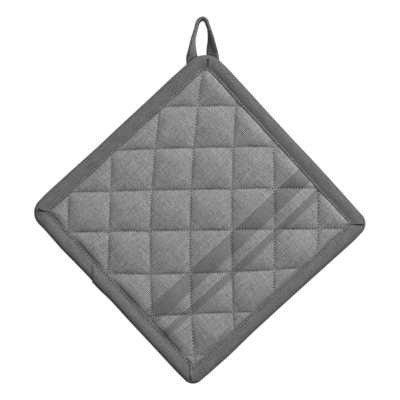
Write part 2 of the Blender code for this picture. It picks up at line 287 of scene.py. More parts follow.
# Slubs along the warp and the weft, then flecks: length and width in millimetres, the pattern's shift,
# its detail and roughness, and how much it changes the tone.
GROUND_STREAKS = (
    (22.0, 0.85, 0.0, 3.0, 0.55, 0.29), (0.9, 14.0, 7.3, 3.0, 0.55, 0.22),
    (2.2, 0.68, 3.1, 2.0, 0.55, 0.33), (0.68, 1.9, 5.7, 2.0, 0.55, 0.26),
)
WIDE_STRIPE = (-44.65, -29.15)
NARROW_STRIPE = (-60.75, -53.85)
STRIPE_BLUR = 0.3
STRIPE_TONE = -0.31
STRIPE_CONTRAST = 0.42
STRIPE_EDGE = (0.25, 1.15)
STRIPE_EDGE_BLUR = 0.25
STRIPE_EDGE_TONE = 0.13
WALE_LEAN = (0.894, -0.448)
WALE_PITCH = 1.72
WALE_DRIFT = 0.3
WALE_DRIFT_SCALE = 0.22
WALE_PATCH_SCALE = 0.2
WALE_CHANGE = 0.6
WALE_MEAN = 0.7
WALE_LEAST = 0.1
WALE_TONE = 0.2
WALE_HEIGHT = 0.8
# The quilting's needle holes: radius and blur in millimetres, then the painted shade and the dent in each
# hole.
HOLE_RADIUS = 0.6
HOLE_BLUR = 0.3
HOLE_TONE = -0.8
HOLE_HEIGHT = -5.0


def smooth(value):
    value = np.clip(value, 0.0, 1.0)
    return value * value * (3.0 - 2.0 * value)


def ripple(x, y, size, seed):
    """Gentle unevenness from about -1 to 1, with humps of a size, the same for the same seed."""
    random = np.random.default_rng(seed)
    total = np.zeros(np.broadcast(x, y).shape)
    for _ in range(RIPPLE_WAVES):
        turn = random.uniform(0.0, 2.0 * math.pi)
        wave = 2.0 * math.pi / size * random.uniform(0.5, 1.1)
        total += np.sin(wave * (x * math.cos(turn) + y * math.sin(turn)) + random.uniform(0.0, 6.28))
    return total / (RIPPLE_WAVES / 2)


def side_insets(x, y):
    """How far points lie inside each of the four straight sides."""
    return [OUTWARD[i, 0] * (CORNERS[i, 0] - x) + OUTWARD[i, 1] * (CORNERS[i, 1] - y) for i in range(4)]


def inset_at(x, y):
    """How far points lie inside the outline with its rounded corners."""
    sides = side_insets(x, y)
    inset = np.minimum.reduce(sides)
    for corner in range(4):
        before = RADII[corner] - sides[corner - 1]
        after = RADII[corner] - sides[corner]
        in_corner = (before > 0.0) & (after > 0.0)
        inset = np.where(in_corner, RADII[corner] - np.hypot(before, after), inset)
    return inset


def lift_at(x, y):
    """How far the cloth is raised where it lies over the ends of the loop."""
    along = smooth((y - LIFT_FROM_Y) / LIFT_RISE)
    across = 1.0 - smooth((np.abs(x - CORNERS[TOP_CORNER, 0]) - LIFT_HALF_WIDTH) / LIFT_FADE)
    return LIFT * along * across


def line_place(lines, number, along):
    """Where a line of quilting runs at a distance along it; a number between two lines blends them."""
    whole = np.clip(np.floor(number).astype(int), 0, len(lines) - 2)
    s = along / LINE_UNIT
    first, second = (lines[n, 0] + lines[n, 1] * s + lines[n, 2] * s * s for n in (whole, whole + 1))
    return first + (second - first) * (number - whole)


def rise(share):
    """The rise of a cell from one line of quilting to the next, with a straight start at each line."""
    puff = (1.0 - np.abs(2.0 * share - 1.0) ** CELL_FULLNESS) ** CELL_SOFTNESS
    start = (1.0 - (1.0 - 2.0 * VALLEY_SHARE) ** CELL_FULLNESS) ** CELL_SOFTNESS
    return np.minimum(puff, np.minimum(share, 1.0 - share) / VALLEY_SHARE * start)


def free_share(x, y):
    """0 where the pad is inside the binding, and 1 where it is puffed to its full height."""
    pasts = [inset - shift - FREE_INSET for inset, shift in zip(side_insets(x, y), LIP_SHIFTS)]
    past = np.minimum.reduce(pasts)
    share = np.clip(past / PUFF_REACH, 0.0, 1.0)
    weights = [np.exp((past - other) / FREE_BLEND) for other in pasts]
    total = sum(weights)
    start = sum(weight * own for weight, own in zip(weights, FREE_STARTS)) / total
    start = start * smooth(past / FREE_START_REACH)
    fullness = sum(weight * own for weight, own in zip(weights, PUFF_FULLNESS)) / total
    return start + (1.0 - start) * (1.0 - (1.0 - share) ** fullness)


def beside_line(share):
    """1 close to a line of quilting, and 0 on it and away from it."""
    near = np.minimum(share, 1.0 - share)
    return np.clip(1.0 - near / PUCKER_REACH, 0.0, 1.0) * np.clip(near / PUCKER_START, 0.0, 1.0)


def pad_top(across, up, x, y):
    """The height of the pad's face, with small dents in the cells and puckers beside the stitching."""
    column = np.floor(across)
    row = np.floor(up)
    share_x = across - column
    share_y = up - row
    free = free_share(x, y)
    uneven = np.sin(UNEVEN_ACROSS * column + UNEVEN_START) * np.cos(UNEVEN_UP * row)
    uneven = 1.0 + CROWN_UNEVEN * uneven
    dome = rise(share_x) * rise(share_y)
    pucker = beside_line(share_x) * ripple(y, PUCKER_SKEW * x, PUCKER_SIZE, seed=5) * rise(share_y)
    pucker += beside_line(share_y) * ripple(x, PUCKER_SKEW * y, PUCKER_SIZE, seed=6) * rise(share_x)
    dent = ripple(x, y, DENT_SIZE, seed=3) * dome * DENT
    swell = VALLEY_TOP - EDGE_TOP + CROWN * uneven * dome + dent + PUCKER * pucker
    return EDGE_TOP + free * swell + lift_at(x, y)


def pad_bottom(across, up, x, y):
    """The height of the pad's back, which lies flat under each cell and is drawn up along the lines."""
    share_x = across - np.floor(across)
    share_y = up - np.floor(up)
    flat = np.clip(np.minimum(share_x, 1.0 - share_x) / FLAT_FROM, 0.0, 1.0)
    flat *= np.clip(np.minimum(share_y, 1.0 - share_y) / FLAT_FROM, 0.0, 1.0)
    drawn_up = VALLEY_BOTTOM * (1.0 - smooth(flat))
    free = np.minimum(1.0, BACK_FULLNESS * free_share(x, y))
    return EDGE_BOTTOM + (drawn_up - EDGE_BOTTOM) * free + lift_at(x, y)


def stitch_count(pitches, number, along):
    """The count of stitches up to a distance along a line of quilting, whose pitch drifts a little."""
    number = np.clip(np.round(number).astype(int), 0, len(pitches) - 1)
    drift = PITCH_DRIFT * np.sin(along / PITCH_DRIFT_LENGTH + PITCH_DRIFT_SHIFT * number)
    return along / pitches[number] + LINE_SHIFT * number + drift


def halved(values):
    """A grid with a point added half way between each two, in both directions."""
    fine = np.zeros((2 * values.shape[0] - 1, 2 * values.shape[1] - 1))
    fine[::2, ::2] = values
    fine[1::2, ::2] = (values[:-1] + values[1:]) / 2
    fine[:, 1::2] = (fine[:, :-2:2] + fine[:, 2::2]) / 2
    return fine


def quads_of(kept, index):
    """The corner numbers of a grid's kept cells, anticlockwise."""
    rows, columns = np.nonzero(kept)
    around = ((0, 0), (0, 1), (1, 1), (1, 0))
    return np.stack([index[rows + i, columns + j] for i, j in around], axis=1)


def add_places(piece, name, x, y):
    """Keeps a pair of lengths, in millimetres, on each point for the piece's material."""
    places = np.stack([x, y, np.zeros(len(x))], axis=1)
    layer = piece.data.attributes.new(name, "FLOAT_VECTOR", "POINT")
    layer.data.foreach_set("vector", places.astype(np.float32).ravel())


def place_of(tree, name):
    made = tree.nodes.new("ShaderNodeAttribute")
    made.attribute_name = name
    return made.outputs["Vector"]


def split(tree, vector):
    made = tree.nodes.new("ShaderNodeSeparateXYZ")
    tree.links.new(vector, made.inputs[0])
    return made.outputs[0], made.outputs[1]


def near_whole(tree, value):
    """The distance to the nearest whole number."""
    return calc(tree, "PINGPONG", value, 0.5)


def between(tree, value, low, high, blur):
    """1 from low to high and 0 outside, over a soft edge."""
    middle = calc(tree, "ABSOLUTE", calc(tree, "SUBTRACT", value, (low + high) / 2))
    half = (high - low) / 2
    ends = (half + blur, half - blur)
    return node(tree, "ShaderNodeMapRange", (middle, *ends), interpolation_type="SMOOTHSTEP")


def stretched(tree, place, along_x, along_y, shift):
    """The place divided by a length along each axis, for streaks of that size."""
    share = (1.0 / along_x, 1.0 / along_y, 1.0)
    mapped = node(tree, "ShaderNodeVectorMath", (place, share), operation="MULTIPLY")
    return node(tree, "ShaderNodeVectorMath", (mapped, (shift, shift, shift)), operation="ADD")


def streaks_of(tree, place, table):
    """Each streaky pattern of a table, with its share of the tone."""
    found = []
    for long, wide, shift, detail, roughness, share in table:
        streaky = noise(tree, stretched(tree, place, long, wide, shift), 1.0, detail, roughness)
        found.append((streaky, share))
    return found


def weighted(tree, parts):
    """The sum of pairs of a value and its weight."""
    (value, weight), *others = parts
    total = calc(tree, "MULTIPLY", value, weight)
    for value, weight in others:
        total = calc(tree, "MULTIPLY_ADD", value, weight, total)
    return total


def hole_at(tree, aside, past, radius, blur):
    """1 at a needle hole, and 0 at lengths beside and past it that are over its radius."""
    square = calc(tree, "ADD", calc(tree, "POWER", aside, 2.0), calc(tree, "POWER", past, 2.0))
    return between(tree, calc(tree, "SQRT", square), -radius, radius, blur)


def needle_holes(tree):
    """1 at each hole that the needle left along the lines of quilting, and 0 elsewhere."""
    numbers = split(tree, place_of(tree, "quilting"))
    counts = split(tree, place_of(tree, "stitches"))
    pitches = (np.mean(UPRIGHT_PITCHES) / MM, np.mean(LEVEL_PITCHES) / MM)
    found = None
    for number, count, pitch in zip(numbers, counts, pitches):
        aside = calc(tree, "MULTIPLY", near_whole(tree, number), CELL / MM)
        past = calc(tree, "MULTIPLY", near_whole(tree, count), float(pitch))
        hole = hole_at(tree, aside, past, HOLE_RADIUS, HOLE_BLUR)
        found = hole if found is None else calc(tree, "MAXIMUM", found, hole)
    return found


def with_stripes(tree, place, tone, height):
    """The ground's tone and height with the two darker twill stripes, each with a bright edge."""
    u, v = split(tree, place)
    wide = between(tree, v, *WIDE_STRIPE, STRIPE_BLUR)
    narrow = between(tree, v, *NARROW_STRIPE, STRIPE_BLUR)
    stripe = calc(tree, "MAXIMUM", wide, narrow)
    lean = calc(tree, "MULTIPLY_ADD", u, WALE_LEAN[0], calc(tree, "MULTIPLY", v, WALE_LEAN[1]))
    lean = calc(tree, "MULTIPLY_ADD", noise(tree, place, WALE_DRIFT_SCALE), WALE_DRIFT, lean)
    wales = calc(tree, "COSINE", calc(tree, "MULTIPLY", lean, 2.0 * math.pi / WALE_PITCH))
    patches = noise(tree, place, WALE_PATCH_SCALE, detail=1.0)
    strength = calc(tree, "MULTIPLY_ADD", patches, WALE_CHANGE, WALE_MEAN)
    twill = calc(tree, "MULTIPLY", calc(tree, "MAXIMUM", strength, WALE_LEAST), wales)
    twill_tone = calc(tree, "MULTIPLY_ADD", tone, STRIPE_CONTRAST, STRIPE_TONE)
    twill_tone = calc(tree, "MULTIPLY_ADD", twill, WALE_TONE, twill_tone)
    for _, edge in (WIDE_STRIPE, NARROW_STRIPE):
        bright = between(tree, v, edge + STRIPE_EDGE[0], edge + STRIPE_EDGE[1], STRIPE_EDGE_BLUR)
        tone = calc(tree, "MULTIPLY_ADD", bright, STRIPE_EDGE_TONE, tone)
    tone = node(tree, "ShaderNodeMix", (stripe, None, tone, twill_tone))
    relief = calc(tree, "MULTIPLY", twill, WALE_HEIGHT)
    return tone, node(tree, "ShaderNodeMix", (stripe, None, height, relief))


def ground_material(name, striped):
    """Plain-woven melange cotton: two sets of uneven threads, and on the face two twill stripes."""
    material, tree, shader = new_material(name, roughness=0.88, sheen=0.12)
    place = place_of(tree, "threads")
    u, v = split(tree, place)
    turn = 2.0 * math.pi / THREAD_PITCH
    drift = calc(tree, "MULTIPLY", noise(tree, place, THREAD_DRIFT_SCALE), THREAD_DRIFT)
    across_warp = calc(tree, "COSINE", calc(tree, "MULTIPLY", calc(tree, "ADD", v, drift), turn))
    across_weft = calc(tree, "COSINE", calc(tree, "MULTIPLY", calc(tree, "SUBTRACT", u, drift), turn))
    patches = calc(tree, "MULTIPLY_ADD", noise(tree, place, PATCH_SCALE), PATCH_CHANGE, PATCH_MEAN)
    ribs = calc(tree, "MULTIPLY_ADD", across_weft, WEFT_SHARE, across_warp)
    ribs = calc(tree, "MULTIPLY", ribs, patches)
    streaks = streaks_of(tree, place, GROUND_STREAKS)
    tone = weighted(tree, streaks + [(ribs, RIB_TONE)])
    slubs = calc(tree, "ADD", streaks[0][0], streaks[1][0])
    height = calc(tree, "MULTIPLY_ADD", ribs, RIB_HEIGHT, slubs)
    if striped:
        tone, height = with_stripes(tree, place, tone, height)
    # Painted shade in each needle hole, which the bump also sinks.
    holes = needle_holes(tree)
    tone = calc(tree, "MULTIPLY_ADD", holes, HOLE_TONE, tone)
    height = calc(tree, "MULTIPLY_ADD", holes, HOLE_HEIGHT, height)
    tone = calc(tree, "MAXIMUM", calc(tree, "ADD", tone, 1.0), DARKEST)
    paint(tree, shader, calc(tree, "MULTIPLY", tone, GROUND_GREY), height, GROUND_RELIEF)
    return material


def touching(kept):
    """How many of a grid's kept cells touch each of its points."""
    count = np.zeros((kept.shape[0] + 1, kept.shape[1] + 1), dtype=int)
    for row in (slice(0, -1), slice(1, None)):
        for column in (slice(0, -1), slice(1, None)):
            count[row, column] += kept
    return count


def cloth_grid():
    """The back's grid: line numbers across and up, places, the cells kept and the points used."""
    step = np.arange((len(UPRIGHT_LINES) - 1) * BACK_STEPS + 1) / BACK_STEPS
    step = step - CROWDING * np.sin(2.0 * math.pi * step) / (2.0 * math.pi)
    across, up = np.meshgrid(step, step)
    x = np.zeros(across.shape)
    y = np.zeros(across.shape)
    for _ in range(CROSSING_ROUNDS):
        x = line_place(UPRIGHT_LINES, across, y)
        y = line_place(LEVEL_LINES, up, x)
    middle_x = (x[:-1, :-1] + x[1:, 1:]) / 2
    middle_y = (y[:-1, :-1] + y[1:, 1:]) / 2
    kept = inset_at(middle_x, middle_y) > EDGE_INSET
    touched = touching(kept)
    rim = (touched > 0) & (touched < 4)
    for _ in range(RIM_ROUNDS):
        inset = inset_at(x, y)
        slope_x = (inset_at(x + RIM_NUDGE, y) - inset) / RIM_NUDGE
        slope_y = (inset_at(x, y + RIM_NUDGE) - inset) / RIM_NUDGE
        x = np.where(rim, x + slope_x * (EDGE_INSET - inset), x)
        y = np.where(rim, y + slope_y * (EDGE_INSET - inset), y)
    return across, up, x, y, kept, touched > 0


def edge_faces(kept, top_index, back_index):
    """The faces between the fine face and the coarser back, on each side of a kept cell that is free."""
    padded = np.pad(kept, 1)
    faces = []
    rows, columns = np.nonzero(kept)
    for i, j in zip(rows.tolist(), columns.tolist()):
        corners = ((i, j), (i, j + 1), (i + 1, j + 1), (i + 1, j))
        beside = (padded[i, j + 1], padded[i + 1, j + 2], padded[i + 2, j + 1], padded[i + 1, j])
        for side in range(4):
            if not beside[side]:
                (a, b), (c, d) = corners[side], corners[(side + 1) % 4]
                face = (
                    top_index[2 * c, 2 * d], top_index[a + c, b + d], top_index[2 * a, 2 * b],
                    back_index[a, b], back_index[c, d],
                )
                faces.append(tuple(int(number) for number in face))
    return faces


def make_pad():
    """The pad as one closed mesh: a fine face, a coarser back and the edge between them."""
    across, up, x, y, kept, used = cloth_grid()
    fine_x, fine_y, fine_across, fine_up = (halved(values) for values in (x, y, across, up))
    fine_kept = np.repeat(np.repeat(kept, 2, axis=0), 2, axis=1)
    fine_used = touching(fine_kept) > 0
    top_index = np.full(fine_x.shape, -1)
    top_index[fine_used] = np.arange(fine_used.sum())
    back_index = np.full(x.shape, -1)
    back_index[used] = fine_used.sum() + np.arange(used.sum())

    def joined(fine, coarse):
        return np.concatenate([fine[fine_used], coarse[used]])

    points_x = joined(fine_x, x)
    points_y = joined(fine_y, y)
    points_z = joined(pad_top(fine_across, fine_up, fine_x, fine_y), pad_bottom(across, up, x, y))
    points = np.stack([points_x, points_y, points_z], axis=1)
    faces = quads_of(fine_kept, top_index).tolist() + edge_faces(kept, top_index, back_index)
    back_from = len(faces)
    faces += quads_of(kept, back_index)[:, ::-1].tolist()
    pad = add_mesh(
        "quilted_pad_cloth", points, faces,
        ground_material("ground_cloth_face", True), ground_material("ground_cloth_back", False), back_from,
    )
    numbers = joined(fine_across, across)
    levels = joined(fine_up, up)
    add_places(pad, "quilting", numbers, levels)
    upright_counts = stitch_count(UPRIGHT_PITCHES, numbers, points_y)
    level_counts = stitch_count(LEVEL_PITCHES, levels, points_x)
    add_places(pad, "stitches", upright_counts, level_counts)
    flat = np.stack([points_x, points_y], axis=1) / MM
    along_warp = flat @ WARP
    along_weft = flat @ WEFT - THREAD_BOW * along_warp ** 2
    along_weft += THREAD_WANDER * ripple(*flat.T, THREAD_WANDER_SIZE, seed=21)
    along_warp += THREAD_WANDER * ripple(*flat.T, THREAD_WANDER_SIZE, seed=22)
    add_places(pad, "threads", along_warp, along_weft)
    return pad


pad = make_pad()
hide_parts("quilted_pad")
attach(pad, "root")

# The quilting thread: grey cotton, lockstitched through the pad, one short raised stitch from each
# needle hole to the next, on the face and on the back.
THREAD_RADIUS = 0.31 * MM
THREAD_ARCH = 0.32 * MM
QUILTING_GREY = 0.31
STITCH_STATIONS = (0.0, 0.12, 0.32, 0.5, 0.68, 0.88, 1.0)
STITCH_SIDES = 6
STITCH_GAP = 0.12
STITCH_END = 0.45
STITCH_SINK = 0.6
ROW_REACH = 160.0 * MM
ROW_TRIALS = 1601
ROW_STITCHES = 50
COVERED = 15.3 * MM
FIBRE_SCALE = 1800.0
FIBRE_TONE = 0.12
THREAD_RELIEF = 0.04 * MM
WORN_SCALE = 280.0
WORN_TONE = 0.5
WORN_MOST = 0.7
THREAD_DARKEST = 0.35


def stitch_mesh(starts, ends, ups, radius, arch):
    """Points and faces of thread segments that rise in an arch between their ends, which are sunk."""
    along = ends - starts
    across = np.cross(along, ups)
    across /= np.linalg.norm(across, axis=1)[:, None]
    rings = []
    for share in STITCH_STATIONS:
        bend = math.sin(math.pi * share)
        width = radius * (STITCH_END + (1.0 - STITCH_END) * bend)
        middle = starts + along * (STITCH_GAP + (1.0 - 2.0 * STITCH_GAP) * share)
        middle = middle + ups * (arch * ((1.0 + STITCH_SINK) * bend - STITCH_SINK))
        for side in range(STITCH_SIDES):
            turn = 2.0 * math.pi * side / STITCH_SIDES
            rings.append(middle + across * (width * math.cos(turn)) + ups * (width * math.sin(turn)))
    points = np.stack(rings, axis=1)
    per_stitch = points.shape[1]
    pattern = []
    for ring in range(len(STITCH_STATIONS) - 1):
        for side in range(STITCH_SIDES):
            a = ring * STITCH_SIDES + side
            b = ring * STITCH_SIDES + (side + 1) % STITCH_SIDES
            pattern.append((a, b, b + STITCH_SIDES, a + STITCH_SIDES))
    caps = [tuple(reversed(range(STITCH_SIDES))), tuple(range(per_stitch - STITCH_SIDES, per_stitch))]
    faces = []
    for number in range(len(points)):
        base = number * per_stitch
        faces += [tuple(base + corner for corner in face) for face in pattern + caps]
    return points.reshape(-1, 3), faces


def add_stitches(name, starts, ends, top, radius, arch, material):
    """Stitches from their starts to their ends as one mesh, on the face or on the back."""
    ups = np.tile((0.0, 0.0, 1.0 if top else -1.0), (len(starts), 1))
    points, faces = stitch_mesh(starts, ends, ups, radius, arch)
    return add_mesh(name, points, faces, material)


def thread_material(name, grey):
    """Twisted cotton thread, rubbed lighter here and there."""
    material, tree, shader = new_material(name, roughness=0.7, sheen=0.15)
    place = tree.nodes.new("ShaderNodeTexCoord").outputs["Object"]
    fibre = noise(tree, place, FIBRE_SCALE)
    worn = calc(tree, "MINIMUM", noise(tree, place, WORN_SCALE, detail=1.0), WORN_MOST)
    tone = calc(tree, "MULTIPLY_ADD", worn, WORN_TONE, 1.0)
    tone = calc(tree, "MULTIPLY_ADD", fibre, FIBRE_TONE, tone)
    tone = calc(tree, "MAXIMUM", tone, THREAD_DARKEST)
    paint(tree, shader, calc(tree, "MULTIPLY", tone, grey), fibre, THREAD_RELIEF)
    return material


def quilting_rows(top):
    """The start and end of each quilting stitch on the face or on the back."""
    starts = []
    ends = []
    rows = ((UPRIGHT_LINES, UPRIGHT_PITCHES, True), (LEVEL_LINES, LEVEL_PITCHES, False))
    for lines, pitches, upright in rows:
        for number in range(1, len(lines) - 1):
            trial = np.linspace(-ROW_REACH, ROW_REACH, ROW_TRIALS)
            counts = stitch_count(pitches, np.array(number), trial)
            along = np.interp(np.arange(-ROW_STITCHES, ROW_STITCHES + 1), counts, trial)
            place = line_place(lines, np.full(len(along), float(number)), along)
            x, y = (place, along) if upright else (along, place)
            free = free_share(x, y)
            if top:
                z = EDGE_TOP + free * (VALLEY_TOP - EDGE_TOP)
            else:
                z = EDGE_BOTTOM + (VALLEY_BOTTOM - EDGE_BOTTOM) * np.minimum(1.0, BACK_FULLNESS * free)
            spots = np.stack([x, y, z + lift_at(x, y)], axis=1)
            inside = inset_at(x, y) > COVERED
            both = inside[:-1] & inside[1:]
            starts.append(spots[:-1][both])
            ends.append(spots[1:][both])
    return np.concatenate(starts), np.concatenate(ends)


quilting_thread = thread_material("quilting_thread", QUILTING_GREY)
for name, top in (("quilting_stitches_face", True), ("quilting_stitches_back", False)):
    starts, ends = quilting_rows(top)
    rows = add_stitches(name, starts, ends, top, THREAD_RADIUS, THREAD_ARCH, quilting_thread)
    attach(rows, "root")

# The binding: one cotton tape folded over the pad's edge with its raw edges turned under, mitred at the
# corners, its two ends overlapped on the lower left side, and topstitched near its lip.
WIDTH = 14.5 * MM
FACE_HEIGHT = 4.0 * MM
SEAM_HEIGHT = 4.98 * MM
SEAM_BACK_HEIGHT = 0.12 * MM
SEAM_INSET = 12.6 * MM
SEAM_PITCHES = np.array((2.9, 2.73, 3.2, 2.88)) * MM
SEAM_DRIFT = 0.35
SEAM_SHIFTS = np.array(((0.3, -0.9), (0.0, 0.0), (0.55, 0.55), (0.0, 0.0))) * MM
SEAM_SHIFT_FROM = 9.5 * MM
SEAM_SHIFT_RISE = 2.6 * MM
LIP_SHIFT_RISE = 1.2 * MM
CORNER_FADE = 0.05
CORNER_STEPS = 40
RINGS_PER_STITCH = 4
CORNER_CROWDING = 1.5
SIDE_BOW = 0.45 * MM
# How far out each side's edge stands from its bow, every 30 mm along it from EDGE_START on.
EDGE_START = 15.0 * MM
EDGE_STEP = 30.0 * MM
EDGE_REACH = 8.0 * MM
EDGE_SHIFTS = np.array((
    (-0.2, 0.2, 0.3, -0.15, -0.1, 0.25, 0.45), (0.2, 0.4, -0.1, -0.2, -0.5, 0.0, 0.4),
    (-0.5, 0.3, -0.55, -0.7, -0.2, -0.05, 0.3), (0.2, 0.55, -0.5, -0.55, -0.35, 0.0, 0.55),
)) * MM
# The mitre folds of the right, top, left and bottom corners.
INNER_RADII = np.array((1.0, 1.0, 4.5, 1.0)) * MM
FOLD_STOPS = np.array((1.6, 3.6, 3.5, 2.3)) * MM
FOLD_SHIFTS = np.array((0.9, 1.5, 0.2, 3.6)) * MM
FOLD_BENDS = np.array((0.0, -0.3, 2.4, -2.4)) * MM
FOLD_WIDTHS = np.array((1.5, 2.6, 3.2, 1.8)) * MM
FOLD_INNER_WIDTH = 0.36 * MM
FOLD_DEPTH = 1.35 * MM
FOLD_RISE = 0.55 * MM
FOLD_SHOULDER = 3.5 * MM
FOLD_FLARE = 1.6
FOLD_FIRMNESS = 1.4
FOLD_FADE = 0.8 * MM
FOLD_END = 0.3 * MM
# The join on the lower left side: where it starts, how the doubled tape rises, steps out and ends, and the
# crease at its start, which is dented and darkened with painted shade.
JOIN_SIDE = 2
JOIN_PLACE = 73.5 * MM
JOIN_INSET = 12.9 * MM
JOIN_SLANT = 1.0
JOIN_RISE = 0.7 * MM
JOIN_FLAT = 7.0 * MM
JOIN_LENGTH = 22.0 * MM
JOIN_STEP = 1.0 * MM
JOIN_STEP_REACH = 4.0 * MM
JOIN_CREASE = 1.5 * MM
JOIN_CREASE_END = 5.5 * MM
JOIN_DEPTH = 0.55 * MM
JOIN_SHADE = 0.8
JOIN_THICKNESS = 0.45 * MM
# Where the lip stands off the pad, its edge is darkened by painted shade of the narrow gap: the side, and the
# start and end along it in millimetres.
GAPS = ((0, 14.0, 208.0), (2, 15.0, 38.0), (2, 45.0, 80.0), (2, 188.0, 206.0))
GAP_BASE = (0.25, 0.0, 0.1, 0.0)
GAP_SHADES = (0.9, 0.5, 0.4, 0.5)
GAP_FROM = 13.9 * MM
GAP_BLUR = 0.6 * MM
GAP_FADE = 4.0 * MM
# The left corner's tape is flattened outwards past its fold.
SLUMP_CORNER = 2
SLUMP_START = 2.0 * MM
SLUMP = 1.8 * MM
SLUMP_REACH = 26.0 * MM
SLUMP_WIDTH = 9.0 * MM
# Slanting wrinkles, long swells, and how the lip wanders: reach, size and random seed.
WRINKLE = 0.12 * MM
WRINKLE_SIZE = 9.0 * MM
WRINKLE_SLANT = 0.55
WRINKLE_FROM = 2.0 * MM
WRINKLE_RISE = 6.0 * MM
SWELL = 0.14 * MM
SWELL_SIZE = 34.0 * MM
SWELL_SKEW = 2.0
LIP_WANDERS = ((0.3 * MM, 26.0 * MM, 13), (0.12 * MM, 7.0 * MM, 14))
LIP_WANDER_FROM = 11.8 * MM
LIP_WANDER_RISE = 2.4 * MM
TAPE_GREY = 0.1145
TAPE_DARKEST = 0.15
TAPE_RELIEF = 0.05 * MM
TAPE_THREAD_PITCH = 0.62
TAPE_WEAVE_TONE = 0.1
TAPE_WEAVE_HEIGHT = 0.8
# Grain, streaks along the tape and rubbed patches, in a table like the ground's.
TAPE_STREAKS = (
    (1.5, 0.95, 0.0, 3.0, 0.7, 0.62), (14.0, 1.2, 4.2, 2.0, 0.55, 0.2), (9.0, 4.0, 1.7, 2.0, 0.55, 0.08),
)
# The seam's needle holes: radius and blur in millimetres, the painted shade and the dent in each hole, and
# the patches that vary them.
SEAM_HOLE = 0.64
SEAM_HOLE_BLUR = 0.25
SEAM_HOLE_TONE = -0.85
SEAM_HOLE_HEIGHT = -4.0
SEAM_HOLE_PATCH = (4.0, 60.0, 2.3)
SEAM_HOLE_CHANGE = 0.55
SEAM_HOLE_MEAN = 0.85
# Painted shade: how much it darkens the tape at its full strength; then the painted shade towards the outer
# edge, where the tape turns down: its most, its strength at the edge and how far in it fades.
CREASE_SHADE = 0.86
EDGE_SHADE = 0.3
EDGE_SHADE_RISE = 0.55
EDGE_SHADE_FADE = 1.95 * MM

# Round the tape from the lip over the face, the outer edge and the back to its other lip, and back
# inside the fold: how far in from the outer edge, how high, and how much of a fold shows there.
SECTION = np.array((
    (14.35, 4.7, 0.0), (14.62, 4.86, 0.4), (14.5, 5.06, 0.8), (14.05, 5.17, 1.0), (13.5, 5.17, 1.0),
    (13.05, 5.1, 0.9), (12.6, 4.98, 0.8), (12.0, 5.06, 0.9), (11.2, 5.34, 1.0), (10.1, 5.8, 1.0),
    (8.8, 6.3, 1.0), (7.3, 6.7, 1.0), (5.8, 6.9, 1.0), (4.3, 6.92, 1.0), (3.1, 6.76, 0.95),
    (2.1, 6.4, 0.9), (1.3, 5.88, 0.7), (0.7, 5.15, 0.45), (0.25, 4.15, 0.2), (0.02, 3.0, 0.0),
    (0.1, 2.05, 0.0), (0.5, 1.2, 0.0), (1.2, 0.5, 0.0), (2.3, 0.08, 0.0), (4.0, 0.0, 0.0),
    (8.0, 0.0, 0.0), (12.0, 0.02, 0.0), (12.6, 0.12, 0.0), (13.2, 0.02, 0.0), (14.2, 0.0, 0.0),
    (14.6, 0.3, 0.0), (14.6, 0.9, 0.0), (14.2, 1.2, 0.0), (8.0, 1.2, 0.0), (2.6, 1.2, 0.0),
    (1.3, 2.3, 0.0), (1.3, 3.7, 0.0), (2.6, 4.8, 0.0), (8.0, 4.8, 0.0),
)) * np.array((MM, MM, 1.0))
INSETS, HEIGHTS, RAISED = SECTION.T


def corner_arc(index, inset, turn):
    """Points of a rounded corner, inset inside the outline; turn goes from 0 to 1 round it."""
    before = OUTWARD[index - 1]
    after = OUTWARD[index % 4]
    radius = np.maximum(RADII[index % 4] - inset, INNER_RADII[index % 4])
    centre = CORNERS[index % 4] - np.outer(inset + radius, before + after) / (1.0 + before @ after)
    angle = math.atan2(before[0] * after[1] - before[1] * after[0], before @ after) * turn
    cos, sin = math.cos(angle), math.sin(angle)
    spoke = np.array((before[0] * cos - before[1] * sin, before[0] * sin + before[1] * cos))
    return centre + np.outer(radius, spoke)


def side_point(side, inset, share):
    """Points of a side, inset inside the outline; share goes from 0 to 1 between its corners' arcs."""
    start = corner_arc(side, inset, 1.0)
    end = corner_arc(side + 1, inset, 0.0)
    bow = SIDE_BOW * math.sin(math.pi * share) * np.clip(1.0 - inset / WIDTH, 0.0, None)
    return start + (end - start) * share + np.outer(bow, OUTWARD[side])


def away_from_corners(share):
    """1 over most of a side, and 0 at its ends."""
    return smooth(min(share, 1.0 - share) / CORNER_FADE)


def lip_shift(side, share, inset):
    """How much further in than usual the seam and the lip of a side run, away from its corners."""
    start, end = SEAM_SHIFTS[side]
    moved = start + (end - start) * share
    seam = moved * smooth((inset - SEAM_SHIFT_FROM) / SEAM_SHIFT_RISE)
    lip = (LIP_SHIFTS[side] - moved) * smooth((inset - SEAM_INSET) / LIP_SHIFT_RISE)
    return (seam + lip) * away_from_corners(share)


def edge_shift(side, own, share, inset):
    """How far out of its bow the outer edge of a side stands, away from its corners."""
    stations = EDGE_START + EDGE_STEP * np.arange(EDGE_SHIFTS.shape[1])
    shift = np.interp(own, stations, EDGE_SHIFTS[side]) * away_from_corners(share)
    return shift * (1.0 - smooth(inset / EDGE_REACH))


def fold_offset(corner, spots, inset):
    """How far past a corner's mitre fold spots are, how far they rise, and how deep in it they are."""
    diagonal = OUTWARD[corner - 1] + OUTWARD[corner]
    diagonal /= np.linalg.norm(diagonal)
    over = (spots - CORNERS[corner]) @ np.array((-diagonal[1], diagonal[0]))
    share = np.clip(1.0 - inset / WIDTH, 0.0, 1.0)
    over = over + FOLD_SHIFTS[corner] + FOLD_BENDS[corner] * share ** 2
    half = FOLD_INNER_WIDTH + (FOLD_WIDTHS[corner] - FOLD_INNER_WIDTH) * share ** FOLD_FLARE
    reach = smooth((inset - FOLD_STOPS[corner]) / FOLD_FADE) * smooth((WIDTH + FOLD_END - inset) / MM)
    dip = reach * np.clip(FOLD_FIRMNESS * (1.0 - np.abs(over) / half), 0.0, 1.0)
    shoulder = np.where(over > 0.0, np.clip(1.0 - over / FOLD_SHOULDER, 0.0, 1.0) ** 2, 0.0)
    return over, reach * FOLD_RISE * shoulder, dip


